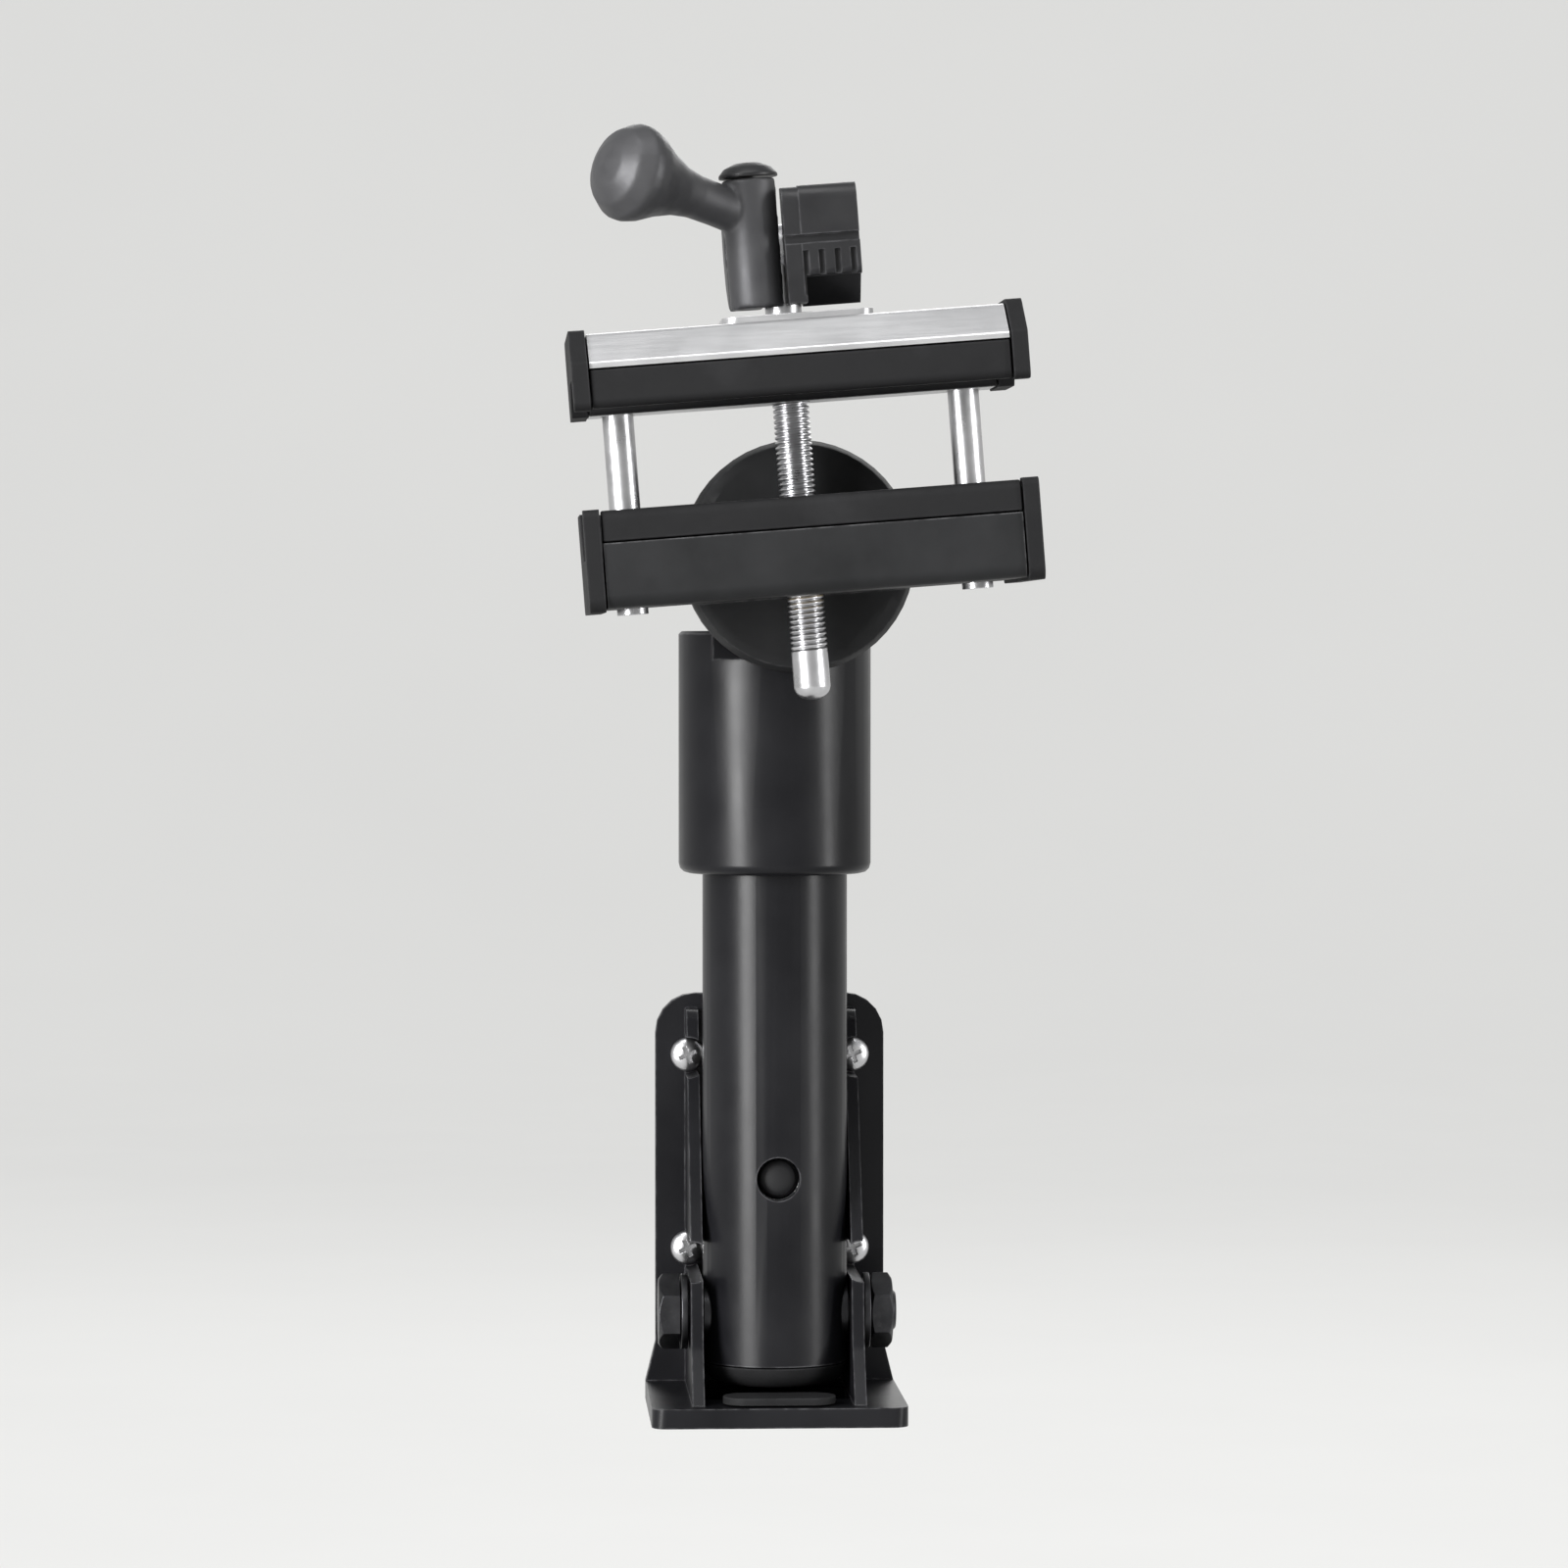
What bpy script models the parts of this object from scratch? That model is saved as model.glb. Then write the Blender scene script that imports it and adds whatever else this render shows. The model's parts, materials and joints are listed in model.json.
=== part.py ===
"""Folding bicycle wall rack: a wall bracket, an arm that folds down, and a clamp head with a quick lever.

Lengths are millimetres in the constants and helpers; MM turns them into metres where objects are made.
The wall face is the plane y = 0 and the rack stands out from it towards -Y. +Z is up, +X is right.
The arm is modelled folded up, parallel to the wall, with the clamp jaws closed on a bicycle's top tube.
"""

from math import atan2, cos, hypot, pi, radians, sin

import bmesh
import bpy
from mathutils import Matrix, Vector

MM = 0.001
GAP = 0.3  # kept between pieces that touch

# Wall bracket
PLATE_HALF = 23.0
PLATE_TOP = 41.0
PLATE_THICK = 3.0
PLATE_CORNER = 8.0
FOOT_HALF = 25.0
FOOT_TOP = -37.2
FOOT_BOTTOM = -41.1
FOOT_FRONT = -46.0
CHEEK_IN = 14.6
CHEEK_OUT = 17.0
SCREW_X = 16.6
SCREW_ZS = (28.7, -10.2)
SCREW_HEAD_R = 3.4
SCREW_SHANK_R = 2.1

# Arm, standing on the arm axis x = 0, y = ARM_Y
ARM_Y = -23.0
PIVOT_Z = -20.8
PIVOT_BOLT_R = 4.0
HEX_R = 7.5  # corners of an M8 hexagon
WASHER_THICK = 1.4
TUBE_R = 14.3
TUBE_WALL = 2.5
TUBE_BOTTOM = -30.4
TUBE_TOP = 106.0
PLUG_BOTTOM = -34.7
STEM_WALL = 2.0
STEM_BOTTOM = -1.0
BUTTON_Z = 6.5
BUTTON_R = 3.9
BUTTON_FACE = -34.9

# Swivel head
SLEEVE_R = 19.0
SLEEVE_BOTTOM = 66.0
SLEEVE_TOP = 113.7
SLEEVE_CEILING = 107.5
LINER_THICK = 1.4
DISC_R = 20.0
DISC_BACK = -31.0
DISC_FRONT = -41.6
TILT_BOLT_R = 4.0

# Clamp: its own frame has its origin on the tilt axis, x along the jaws, z along the clamp screw
HUB_X = 3.2
HUB_Z = 128.0
TILT = 4.4
HUB_R = 22.4
HUB_BACK = -43.2
HUB_FRONT = -53.5
JAW_FRONT = -104.0
JAW_BACK = -52.5
JAW_HALF = 38.6
CAP_OUT = 41.9
SCREW_Y = -62.0
SCREW_R = 3.5
SCREW_TIP = -27.6
GUIDE_X = 33.0
GUIDE_R = 3.0
SCREW_BORE_R = 3.9  # clears the clamp screw in the jaws and the saddle
EYE_HALF = 3.4
LOWER_FLOOR = -7.7
LOWER_LIP = 10.3
UPPER_LIP = 29.0
UPPER_TOP = 43.0
SADDLE_TOP = 45.6

# Quick lever, which turns on the cam pin across the top of the clamp screw
PIN_Z = 58.3
PIN_R = 2.5
CAM_R = 11.2
POST_X = -5.0
POST_Y = -66.0
POST_R = 5.2
POST_TOP = 71.6
BLOCK_FRONT = -73.0
NECK = (-8.0, -66.5, 65.6)
KNOB = (-28.3, -82.0, 73.5)

FINISHES = {
    "powder_coat": ((0.018, 0.018, 0.020), 0.42, 0.0),
    "jaw_casting": ((0.045, 0.046, 0.048), 0.50, 0.0),
    "satin_grey": ((0.36, 0.36, 0.37), 0.34, 0.6),
    "lever_grey": ((0.16, 0.16, 0.165), 0.34, 0.7),
    "rubber": ((0.012, 0.012, 0.012), 0.80, 0.0),
    "black_plastic": ((0.016, 0.016, 0.017), 0.50, 0.0),
    "steel": ((0.62, 0.62, 0.63), 0.28, 1.0),
    "black_steel": ((0.045, 0.045, 0.048), 0.40, 1.0),
    "brass": ((0.62, 0.48, 0.24), 0.35, 1.0),
}


# ---------------------------------------------------------------- scene and materials


def clear_scene():
    for obj in list(bpy.data.objects):
        bpy.data.objects.remove(obj)


def new_collection(name):
    collection = bpy.data.collections.new(name)
    bpy.context.scene.collection.children.link(collection)
    return collection


def make_materials():
    made = {}
    for name, (colour, roughness, metallic) in FINISHES.items():
        material = bpy.data.materials.new(name)
        material.use_nodes = True
        shader = material.node_tree.nodes["Principled BSDF"]
        shader.inputs["Base Color"].default_value = (*colour, 1.0)
        shader.inputs["Roughness"].default_value = roughness
        shader.inputs["Metallic"].default_value = metallic
        made[name] = material
    return made


clear_scene()
PARTS = new_collection("bicycle_wall_rack")
CUTTERS = new_collection("cutters")
MATERIALS = make_materials()


# ---------------------------------------------------------------- modelling helpers


def empty(name, location, parent=None, turn_y=0.0):
    obj = bpy.data.objects.new(name, None)
    obj.location = Vector(location) * MM
    obj.rotation_euler = (0.0, radians(turn_y), 0.0)
    obj.parent = parent
    PARTS.objects.link(obj)
    return obj


def finish(obj, finish_name, parent=None, smooth_angle=35.0):
    """Give a mesh object its material, its parent and smooth shading up to an angle."""
    obj.data.materials.clear()
    obj.data.materials.append(MATERIALS[finish_name])
    obj.parent = parent
    obj.data.shade_smooth()
    obj.data.set_sharp_from_angle(angle=radians(smooth_angle))
    return obj


def from_bmesh(name, bm):
    mesh = bpy.data.meshes.new(name)
    bm.to_mesh(mesh)
    bm.free()
    obj = bpy.data.objects.new(name, mesh)
    PARTS.objects.link(obj)
    return obj


def rounded(corners, arc_step=18.0):
    """Closed outline through corners (x, y) or (x, y, radius), with an arc at each radius."""
    points = []
    count = len(corners)
    for i, corner in enumerate(corners):
        here = Vector(corner[:2])
        radius = corner[2] if len(corner) > 2 else 0.0
        if not radius:
            points.append(here)
            continue
        before = (Vector(corners[i - 1][:2]) - here).normalized()
        after = (Vector(corners[(i + 1) % count][:2]) - here).normalized()
        half = before.angle(after) / 2
        middle = here + (before + after).normalized() * (radius / sin(half))
        start = here + before * (radius * cos(half) / sin(half)) - middle
        sweep = pi - 2 * half
        side = 1 if before.cross(after) < 0 else -1
        steps = max(2, round(sweep / radians(arc_step)))
        for k in range(steps + 1):
            angle = atan2(start.y, start.x) + side * sweep * k / steps
            points.append(middle + Vector((cos(angle), sin(angle))) * radius)
    return points


def circle(x, y, radius, count=24):
    return [Vector((x + radius * cos(2 * pi * i / count), y + radius * sin(2 * pi * i / count)))
            for i in range(count)]


# How a slab's outline lies: outline x, outline y and thickness, as axes of the parent's frame.
PLANES = {
    "front": Matrix(((1, 0, 0), (0, 0, -1), (0, 1, 0))).to_4x4(),
    "side": Matrix(((0, 0, 1), (1, 0, 0), (0, 1, 0))).to_4x4(),
    "top": Matrix.Identity(4),
}


def slab(name, plane, outline, low, high, holes=()):
    """A flat outline with holes, thickened from low to high along the plane's normal axis."""
    curve = bpy.data.curves.new(name, "CURVE")
    curve.dimensions = "2D"
    curve.fill_mode = "BOTH"
    curve.extrude = (high - low) / 2 * MM
    for loop in (outline, *holes):
        spline = curve.splines.new("POLY")
        spline.points.add(len(loop) - 1)
        for point, place in zip(spline.points, loop):
            point.co = (place[0] * MM, place[1] * MM, 0.0, 1.0)
        spline.use_cyclic_u = True
    flat = bpy.data.objects.new(name + "_outline", curve)
    PARTS.objects.link(flat)
    bpy.context.view_layer.update()
    depsgraph = bpy.context.evaluated_depsgraph_get()
    mesh = bpy.data.meshes.new_from_object(flat.evaluated_get(depsgraph))
    bpy.data.objects.remove(flat)
    bm = bmesh.new()
    bm.from_mesh(mesh)
    bpy.data.meshes.remove(mesh)
    bmesh.ops.remove_doubles(bm, verts=bm.verts, dist=0.00001)
    bm.transform(PLANES[plane])
    middle = (low + high) / 2 * MM
    normal = {"front": (0, 1, 0), "side": (1, 0, 0), "top": (0, 0, 1)}[plane]
    bm.transform(Matrix.Translation(Vector(normal) * middle))
    bmesh.ops.recalc_face_normals(bm, faces=bm.faces)
    if bm.calc_volume(signed=True) < 0:
        bmesh.ops.reverse_faces(bm, faces=bm.faces)
    return from_bmesh(name, bm)


def aim(start, direction):
    """Matrix that stands local +Z along a direction, with the origin at start (millimetres)."""
    turn = Vector((0, 0, 1)).rotation_difference(Vector(direction).normalized())
    return Matrix.Translation(Vector(start) * MM) @ turn.to_matrix().to_4x4()


def rod(name, start, end, radius, sides=24):
    """A cylinder from start to end; six sides make a hexagon, whose radius is to its corners."""
    bm = bmesh.new()
    length = (Vector(end) - Vector(start)).length
    bmesh.ops.create_cone(bm, cap_ends=True, segments=sides, radius1=radius * MM, radius2=radius * MM,
                          depth=length * MM, matrix=Matrix.Translation((0, 0, length / 2 * MM)))
    bm.transform(aim(start, Vector(end) - Vector(start)))
    return from_bmesh(name, bm)


def turned(name, profile, start=(0, 0, 0), direction=(0, 0, 1), steps=32, closed=False):
    """A profile of (radius, height) points turned about the axis from start along direction.

    An open profile starts and ends on the axis. Both kinds run down their outer side.
    """
    mesh = bpy.data.meshes.new(name)
    points = [(radius * MM, 0.0, height * MM) for radius, height in profile]
    edges = [(i, i + 1) for i in range(len(points) - 1)]
    if closed:
        edges.append((len(points) - 1, 0))
    mesh.from_pydata(points, edges, [])
    obj = bpy.data.objects.new(name, mesh)
    PARTS.objects.link(obj)
    obj.matrix_world = aim(start, direction)
    screw = obj.modifiers.new("turn", "SCREW")
    screw.axis = "Z"
    screw.steps = steps
    screw.render_steps = steps
    screw.use_merge_vertices = True
    screw.merge_threshold = 0.00001
    screw.use_smooth_shade = True
    return obj


def ring(name, outer, inner, low, high, start=(0, 0, 0), direction=(0, 0, 1), steps=32):
    profile = [(outer, high), (outer, low), (inner, low), (inner, high)]
    return turned(name, profile, start, direction, steps, closed=True)


def tool(obj):
    """Move an object to the cutters, which are neither drawn nor built."""
    PARTS.objects.unlink(obj)
    CUTTERS.objects.link(obj)
    obj.display_type = "WIRE"
    obj.hide_render = True
    return obj


def boolean(target, other, operation):
    modifier = target.modifiers.new(operation.lower(), "BOOLEAN")
    modifier.operation = operation
    modifier.solver = "EXACT"
    modifier.object = tool(other)
    return target


def cut(target, *others):
    for other in others:
        boolean(target, other, "DIFFERENCE")
    return target


def join(target, *others):
    for other in others:
        boolean(target, other, "UNION")
    return target


def settle(obj):
    """Replace an object's modifiers by their result, with its place in its mesh, and drop its cutters."""
    bpy.context.view_layer.update()
    depsgraph = bpy.context.evaluated_depsgraph_get()
    mesh = bpy.data.meshes.new_from_object(obj.evaluated_get(depsgraph))
    tools = [m.object for m in obj.modifiers if m.type == "BOOLEAN"]
    mesh.transform(obj.matrix_world)
    obj.modifiers.clear()
    obj.data = mesh
    obj.matrix_world = Matrix.Identity(4)
    for other in tools:
        bpy.data.objects.remove(other)
    return obj


# ---------------------------------------------------------------- wall bracket


def make_bracket():
    flare = FOOT_TOP + 8
    outline = rounded([(-PLATE_HALF, PLATE_TOP, PLATE_CORNER), (PLATE_HALF, PLATE_TOP, PLATE_CORNER),
                       (PLATE_HALF, flare), (FOOT_HALF, FOOT_TOP), (FOOT_HALF, FOOT_BOTTOM),
                       (-FOOT_HALF, FOOT_BOTTOM), (-FOOT_HALF, FOOT_TOP), (-PLATE_HALF, flare)])
    bracket = slab("wall_bracket", "front", outline, -PLATE_THICK, 0.0)
    foot_shape = rounded([(-FOOT_HALF, -1.0), (-FOOT_HALF, FOOT_FRONT, 3), (FOOT_HALF, FOOT_FRONT, 3),
                          (FOOT_HALF, -1.0)])
    join(bracket, slab("foot", "top", foot_shape, FOOT_BOTTOM, FOOT_TOP))
    cheek_shape = rounded([(-2.0, 38.0), (-9.0, 38.0, 4), (-32.5, -9.0, 8), (-35.5, -26.0, 8),
                           (-43.0, FOOT_TOP - 1.0), (-2.0, FOOT_TOP - 1.0)])
    pivot_hole = circle(ARM_Y, PIVOT_Z, PIVOT_BOLT_R + GAP)
    for side in (-1, 1):
        low, high = sorted((side * CHEEK_IN, side * CHEEK_OUT))
        join(bracket, slab("cheek", "side", cheek_shape, low, high, [pivot_hole]))
    # Driver access past the cheeks to each screw, and room for the tube's end to swing over the foot.
    for x in (-SCREW_X, SCREW_X):
        for z in SCREW_ZS:
            access = rod("driver_access", (x, -PLATE_THICK - 0.15, z), (x, -50, z), SCREW_HEAD_R + 0.5, 22)
            cut(bracket, access, rod("screw_hole", (x, 1, z), (x, -20, z), SCREW_SHANK_R + GAP, 16))
    swing = hypot(TUBE_R - 4, PIVOT_Z - PLUG_BOTTOM - 4) + 4 + 0.6
    cut(bracket, rod("swing_room", (-CHEEK_IN + 0.05, ARM_Y, PIVOT_Z), (CHEEK_IN - 0.05, ARM_Y, PIVOT_Z),
                     swing, 64))
    finish(settle(bracket), "powder_coat")


def make_wall_screws():
    for side, x in (("left", -SCREW_X), ("right", SCREW_X)):
        for level, z in zip(("upper", "lower"), SCREW_ZS):
            profile = [(0, 2.6), (1.6, 2.5), (2.8, 1.9), (SCREW_HEAD_R, 0.9), (SCREW_HEAD_R, 0.0),
                       (SCREW_SHANK_R, 0.0), (SCREW_SHANK_R, -PLATE_THICK), (0, -PLATE_THICK)]
            screw = turned(f"wall_screw_{level}_{side}", profile, (x, -PLATE_THICK - GAP, z), (0, -1, 0), 16)
            finish(settle(screw), "steel")


def make_pivot():
    reach = CHEEK_OUT + GAP
    washer_out = reach + WASHER_THICK
    head_in = washer_out + 0.2
    head_out = head_in + 4.2
    for name, side in (("pivot_washer_left", -1), ("pivot_washer_right", 1)):
        washer = ring(name, HEX_R, PIVOT_BOLT_R + GAP, reach, washer_out, (0, ARM_Y, PIVOT_Z), (side, 0, 0),
                      steps=24)
        finish(settle(washer), "black_steel")
    bolt = rod("pivot_bolt", (-head_out, ARM_Y, PIVOT_Z), (-head_in, ARM_Y, PIVOT_Z), HEX_R, 6)
    join(bolt, rod("shank", (-head_in - 1, ARM_Y, PIVOT_Z), (head_out + 0.8, ARM_Y, PIVOT_Z), PIVOT_BOLT_R))
    finish(settle(bolt), "black_steel")
    nut = rod("pivot_nut", (head_in, ARM_Y, PIVOT_Z), (head_out, ARM_Y, PIVOT_Z), HEX_R, 6)
    cut(nut, rod("bore", (head_in - 1, ARM_Y, PIVOT_Z), (head_out + 1, ARM_Y, PIVOT_Z), PIVOT_BOLT_R + GAP))
    finish(settle(nut), "black_steel")


def make_rest_pad():
    back, front, end = -35.5, -44.5, 4.4
    outline = rounded([(-11, back, end), (11, back, end), (11, front, end), (-11, front, end)])
    pad = slab("rest_pad", "top", outline, FOOT_TOP + GAP, FOOT_TOP + 1.8)
    finish(pad, "rubber")


# ---------------------------------------------------------------- arm


def make_arm():
    arm = empty("arm_fold_axis", (0, ARM_Y, PIVOT_Z))
    bore = TUBE_R - TUBE_WALL
    stem_r = bore - GAP
    stem_bore = stem_r - STEM_WALL

    tube = ring("arm_tube", TUBE_R, bore, TUBE_BOTTOM, TUBE_TOP, (0, ARM_Y, 0), steps=40)
    cut(tube, rod("pivot_bore", (-20, ARM_Y, PIVOT_Z), (20, ARM_Y, PIVOT_Z), 6.3),
        rod("button_bore", (0, -40, BUTTON_Z), (0, -30, BUTTON_Z), BUTTON_R + 0.35))
    place(finish(settle(tube), "powder_coat"), arm, (0, ARM_Y, PIVOT_Z))

    plug_arc = [(TUBE_R - 4 + 4 * cos(radians(a)), PLUG_BOTTOM + 4 - 4 * sin(radians(a)))
                for a in (0, 22.5, 45, 67.5, 90)]
    plug = turned("tube_end_plug", [(0, -27.4), (bore - GAP, -27.4), (bore - GAP, TUBE_BOTTOM - GAP),
                                    (TUBE_R, TUBE_BOTTOM - GAP), *plug_arc[1:], (0, PLUG_BOTTOM)],
                  (0, ARM_Y, 0), steps=40)
    place(finish(settle(plug), "rubber"), arm, (0, ARM_Y, PIVOT_Z))

    sleeve = ring("pivot_sleeve", 6.0, PIVOT_BOLT_R + GAP, -TUBE_R, TUBE_R, (0, ARM_Y, PIVOT_Z), (1, 0, 0),
                  steps=24)
    place(finish(settle(sleeve), "black_steel"), arm, (0, ARM_Y, PIVOT_Z))

    stem = ring("head_stem", stem_r, stem_bore, STEM_BOTTOM, TUBE_TOP, (0, ARM_Y, 0), steps=32)
    cut(stem, rod("button_bore", (0, -40, BUTTON_Z), (0, -28, BUTTON_Z), BUTTON_R + 0.35))
    place(finish(settle(stem), "steel"), arm, (0, ARM_Y, PIVOT_Z))

    cap_top = TUBE_TOP + 1.2
    cap = turned("stem_cap", [(TUBE_R - 0.2, cap_top), (TUBE_R - 0.2, TUBE_TOP + GAP),
                              (stem_bore - GAP, TUBE_TOP + GAP), (stem_bore - GAP, 96.0), (3.3, 96.0),
                              (3.3, cap_top)], (0, ARM_Y, 0), closed=True)
    place(finish(settle(cap), "steel"), arm, (0, ARM_Y, PIVOT_Z))

    head_low = SLEEVE_TOP - 3.2
    swivel = turned("swivel_screw", [(0, SLEEVE_TOP - 0.3), (6.0, SLEEVE_TOP - 0.3), (6.5, SLEEVE_TOP - 0.8),
                                     (6.5, head_low), (4.1, head_low), (4.1, cap_top + GAP),
                                     (3.0, cap_top + GAP), (3.0, 98.0), (0, 98.0)],
                    (0, ARM_Y, 0), steps=24)
    place(finish(settle(swivel), "steel"), arm, (0, ARM_Y, PIVOT_Z))

    leaf = rounded([(-29.0, 12.6), (-22.9, 0.4, 1.6), (-20.7, 0.4, 1.6), (-14.8, 12.6), (-15.7, 12.9),
                    (-21.3, 1.3, 0.8), (-22.3, 1.3, 0.8), (-28.1, 12.9)])
    spring = slab("button_spring", "side", leaf, -3.5, 3.5)
    place(finish(spring, "steel"), arm, (0, ARM_Y, PIVOT_Z))

    button_axis = empty("button_axis", Vector((0, ARM_Y, BUTTON_Z)) - Vector((0, ARM_Y, PIVOT_Z)), arm)
    flange_back = -29.4
    button = turned("snap_button", [(0, -BUTTON_FACE), (2.2, -BUTTON_FACE - 0.1), (3.4, -BUTTON_FACE - 0.6),
                                    (BUTTON_R, -BUTTON_FACE - 1.4), (BUTTON_R, -flange_back + 1.2),
                                    (5.2, -flange_back + 1.2), (5.2, -flange_back), (0, -flange_back)],
                    (0, 0, BUTTON_Z), (0, -1, 0), 24)
    place(finish(settle(button), "black_plastic"), button_axis, (0, ARM_Y, BUTTON_Z))
    return arm


def place(obj, parent, origin):
    """Hang a settled object, whose mesh is in world places, on a parent empty at origin."""
    obj.data.transform(Matrix.Translation(-Vector(origin) * MM))
    obj.parent = parent
    return obj


# ---------------------------------------------------------------- swivel head


def make_head(arm):
    head = empty("head_swivel_axis", (0, 0, SLEEVE_BOTTOM - PIVOT_Z), arm)
    origin = (0, ARM_Y, SLEEVE_BOTTOM)
    bore = TUBE_R + GAP + LINER_THICK + GAP
    screw_hole, counterbore = 4.4, 7.2
    lip = [(SLEEVE_R - 2 + 2 * cos(radians(a)), SLEEVE_BOTTOM + 2 - 2 * sin(radians(a)))
           for a in (0, 30, 60, 90)]
    profile = [(screw_hole, SLEEVE_TOP - 3.5), (counterbore, SLEEVE_TOP - 3.5), (counterbore, SLEEVE_TOP),
               (SLEEVE_R - 0.6, SLEEVE_TOP), (SLEEVE_R, SLEEVE_TOP - 0.6), *lip,
               (bore, SLEEVE_BOTTOM), (bore, SLEEVE_CEILING), (screw_hole, SLEEVE_CEILING)]
    sleeve = turned("head_sleeve", profile, (0, ARM_Y, 0), steps=40, closed=True)
    lug_half_low, lug_half_high = 13.0, 16.0
    lug_shape = rounded([(-lug_half_low, SLEEVE_CEILING + 0.6), (lug_half_low, SLEEVE_CEILING + 0.6),
                         (HUB_X + lug_half_high, HUB_Z), (HUB_X - lug_half_high, HUB_Z)])
    join(sleeve, slab("lug", "front", lug_shape, DISC_FRONT, DISC_BACK),
         rod("disc", (HUB_X, DISC_FRONT - 0.1, HUB_Z), (HUB_X, DISC_BACK + 0.1, HUB_Z), DISC_R, 40))
    cut(sleeve, rod("tilt_bore", (HUB_X, -60, HUB_Z), (HUB_X, -25, HUB_Z), TILT_BOLT_R + GAP))
    place(finish(settle(sleeve), "powder_coat"), head, origin)

    liner = ring("sleeve_liner", bore - GAP, TUBE_R + GAP, SLEEVE_BOTTOM + 1, TUBE_TOP, (0, ARM_Y, 0),
                 steps=40)
    place(finish(settle(liner), "black_plastic"), head, origin)

    washer = ring("tilt_washer", 8.0, TILT_BOLT_R + GAP, 0.0, WASHER_THICK,
                  (HUB_X, DISC_BACK + GAP + 0.1, HUB_Z), (0, 1, 0), 24)
    place(finish(settle(washer), "steel"), head, origin)

    friction = ring("tilt_friction_disc", 17.0, TILT_BOLT_R + GAP, 0.0, 0.9,
                    (HUB_X, DISC_FRONT - GAP - 0.1, HUB_Z), (0, -1, 0))
    place(finish(settle(friction), "black_plastic"), head, origin)
    return head


# ---------------------------------------------------------------- clamp, in the tilted jaw frame


def lower_groove(lift=0.0):
    """The pad's open V with a flat floor, from front to back, for a bicycle tube."""
    return [(-99.5, LOWER_LIP + lift, 1.0), (-94.0, 1.2 + lift), (-78.0, 1.2 + lift),
            (-72.5, LOWER_LIP + lift, 1.0)]


def upper_groove(lift=0.0):
    return [(-72.5, UPPER_LIP + lift, 1.0), (-78.0, 35.2 + lift), (-94.0, 35.2 + lift),
            (-99.5, UPPER_LIP + lift, 1.0)]


def screw_bore(radius, low, high, x=0.0):
    return rod("bore", (x, SCREW_Y, low), (x, SCREW_Y, high), radius)


def make_lower_jaw(carrier):
    shape = rounded([(JAW_BACK, LOWER_FLOOR), (JAW_FRONT, LOWER_FLOOR, 2.5), (JAW_FRONT, 4.3), (-98.9, 4.3),
                     (-95.6, -3.6, 1.2), (-76.4, -3.6, 1.2), (-73.1, 4.3), (-68.8, 4.3),
                     (-68.8, LOWER_LIP), (JAW_BACK, LOWER_LIP)])
    jaw = slab("lower_jaw", "side", shape, -JAW_HALF, JAW_HALF)
    hub_profile = [(0, -HUB_FRONT), (HUB_R - 3, -HUB_FRONT), (HUB_R - 0.9, -HUB_FRONT - 0.9),
                   (HUB_R, -HUB_FRONT - 3), (HUB_R, -HUB_BACK), (0, -HUB_BACK)]
    hub = turned("hub", hub_profile, (0, 0, 0), (0, -1, 0), 48)
    join(jaw, hub)
    nut_pocket = rod("nut_pocket", (0, SCREW_Y, LOWER_FLOOR - 1), (0, SCREW_Y, -2.1), 6.8, 6)
    cut(jaw, nut_pocket, screw_bore(SCREW_BORE_R, LOWER_FLOOR - 2, LOWER_LIP + 2),
        screw_bore(GUIDE_R + GAP, LOWER_FLOOR - 2, LOWER_LIP + 2, -GUIDE_X),
        screw_bore(GUIDE_R + GAP, LOWER_FLOOR - 2, LOWER_LIP + 2, GUIDE_X),
        rod("tilt_bore", (0, -51.5, 0), (0, -40, 0), TILT_BOLT_R + GAP))
    finish(settle(jaw), "jaw_casting", carrier)

    pad_shape = rounded([(JAW_FRONT, 4.6), (-98.7, 4.6), (-95.4, -3.3, 1.2), (-76.6, -3.3, 1.2), (-73.3, 4.6),
                         (-69.1, 4.6), (-69.1, LOWER_LIP, 1.0), *reversed(lower_groove()),
                         (JAW_FRONT, LOWER_LIP, 1.5)])
    finish(slab("lower_pad", "side", pad_shape, -JAW_HALF, JAW_HALF), "rubber", carrier)

    cap_shape = rounded([(-53.0, -8.3, 1.5), (-104.6, -8.3, 2.5), (-104.6, LOWER_LIP + 0.3, 1.5),
                         *lower_groove(0.3), (-53.0, LOWER_LIP + 0.3, 1.5)])
    end_caps("lower_end_cap", cap_shape, carrier)

    nut = rod("clamp_nut", (0, SCREW_Y, LOWER_FLOOR + 0.3), (0, SCREW_Y, -2.4), 6.4, 6)
    cut(nut, screw_bore(SCREW_R + GAP, LOWER_FLOOR - 2, 0))
    finish(settle(nut), "brass", carrier)

    bolt = rod("tilt_bolt", (0, -28.9, 0), (0, -24.4, 0), HEX_R, 6)
    join(bolt, rod("shank", (0, -51.2, 0), (0, -26.0, 0), TILT_BOLT_R))
    finish(settle(bolt), "steel", carrier)


def end_caps(name, shape, parent):
    for end, side in (("left", -1), ("right", 1)):
        low, high = sorted((side * CAP_OUT, side * (JAW_HALF + GAP)))
        finish(slab(f"{name}_{end}", "side", shape, low, high), "rubber", parent)


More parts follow.
